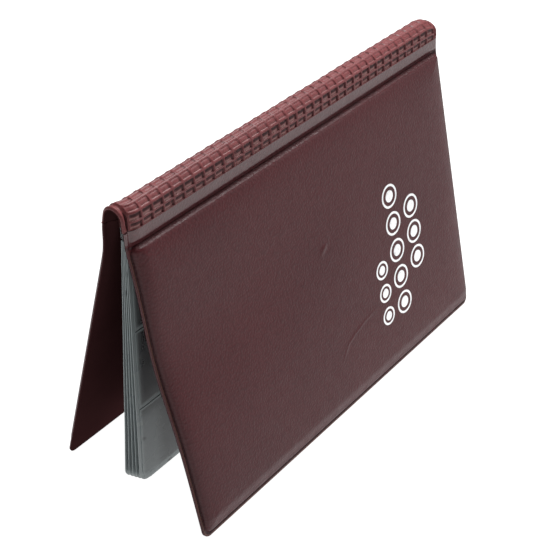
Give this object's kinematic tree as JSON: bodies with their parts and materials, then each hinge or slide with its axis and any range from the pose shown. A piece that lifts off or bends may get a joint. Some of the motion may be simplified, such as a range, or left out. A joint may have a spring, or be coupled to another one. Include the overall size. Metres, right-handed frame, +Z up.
{
  "type": "pocket coin album",
  "caption": "Pocket coin album with padded leatherette covers, a basket-weave spine and clear pocket leaves; it stands on its fore edges like a tent.",
  "frame": {"origin": "on the floor, below the middle of the spine, with the album standing on the fore edges of its covers", "axes": "+X along the spine, the front cover flares towards -Y and the back cover towards +Y, +Z up"},
  "size_m": [0.14, 0.0566, 0.1002],
  "materials": {
    "leatherette": "satin",
    "dark_lining": "satin",
    "grey_board": "matte",
    "foam": "matte",
    "clear_vinyl": "gloss",
    "silver_foil": "gloss"
  },
  "bodies": {
    "spine": {"spine_skin": "leatherette", "spine_lining": "dark_lining", "binding_strip": "dark_lining", "leaf_margins": "clear_vinyl"},
    "front_cover": {"front_cover_skin": "leatherette", "front_cover_padding": "foam", "front_cover_board": "grey_board", "front_cover_lining": "dark_lining", "foil_ornament": "silver_foil"},
    "back_cover": {"back_cover_skin": "leatherette", "back_cover_padding": "foam", "back_cover_board": "grey_board", "back_cover_lining": "dark_lining"},
    "leaf_1": {"leaf_1_backing": "clear_vinyl", "leaf_1_pockets_1": "clear_vinyl", "leaf_1_pockets_2": "clear_vinyl", "leaf_1_pockets_3": "clear_vinyl"},
    "leaf_2": {"leaf_2_backing": "clear_vinyl", "leaf_2_pockets_1": "clear_vinyl", "leaf_2_pockets_2": "clear_vinyl", "leaf_2_pockets_3": "clear_vinyl"},
    "leaf_3": {"leaf_3_backing": "clear_vinyl", "leaf_3_pockets_1": "clear_vinyl", "leaf_3_pockets_2": "clear_vinyl", "leaf_3_pockets_3": "clear_vinyl"},
    "leaf_4": {"leaf_4_backing": "clear_vinyl", "leaf_4_pockets_1": "clear_vinyl", "leaf_4_pockets_2": "clear_vinyl", "leaf_4_pockets_3": "clear_vinyl"},
    "leaf_5": {"leaf_5_backing": "clear_vinyl", "leaf_5_pockets_1": "clear_vinyl", "leaf_5_pockets_2": "clear_vinyl", "leaf_5_pockets_3": "clear_vinyl"}
  },
  "joints": [
    {"name": "front_cover_hinge", "type": "hinge", "parent": "spine", "child": "front_cover", "pos_m": [0, -0.0034, 0.09015], "axis": [-1, 0, 0], "range_deg": [-12, 110]},
    {"name": "back_cover_hinge", "type": "hinge", "parent": "spine", "child": "back_cover", "pos_m": [0, 0.0034, 0.09015], "axis": [-1, 0, 0], "range_deg": [-110, 13]},
    {"name": "leaf_5_turn", "type": "hinge", "parent": "spine", "child": "leaf_5", "pos_m": [0, -0.0012, 0.08925], "axis": [-1, 0, 0], "range_deg": [-10, 12]},
    {"name": "leaf_4_turn", "type": "hinge", "parent": "leaf_5", "child": "leaf_4", "pos_m": [0, -0.0012, 0.08925], "axis": [-1, 0, 0], "range_deg": [-0.6, 12]},
    {"name": "leaf_3_turn", "type": "hinge", "parent": "leaf_4", "child": "leaf_3", "pos_m": [0, -0.0012, 0.08925], "axis": [-1, 0, 0], "range_deg": [-0.6, 12]},
    {"name": "leaf_2_turn", "type": "hinge", "parent": "leaf_3", "child": "leaf_2", "pos_m": [0, -0.0012, 0.08925], "axis": [-1, 0, 0], "range_deg": [-0.6, 12]},
    {"name": "leaf_1_turn", "type": "hinge", "parent": "leaf_2", "child": "leaf_1", "pos_m": [0, -0.0012, 0.08925], "axis": [-1, 0, 0], "range_deg": [-0.6, 12]}
  ]
}
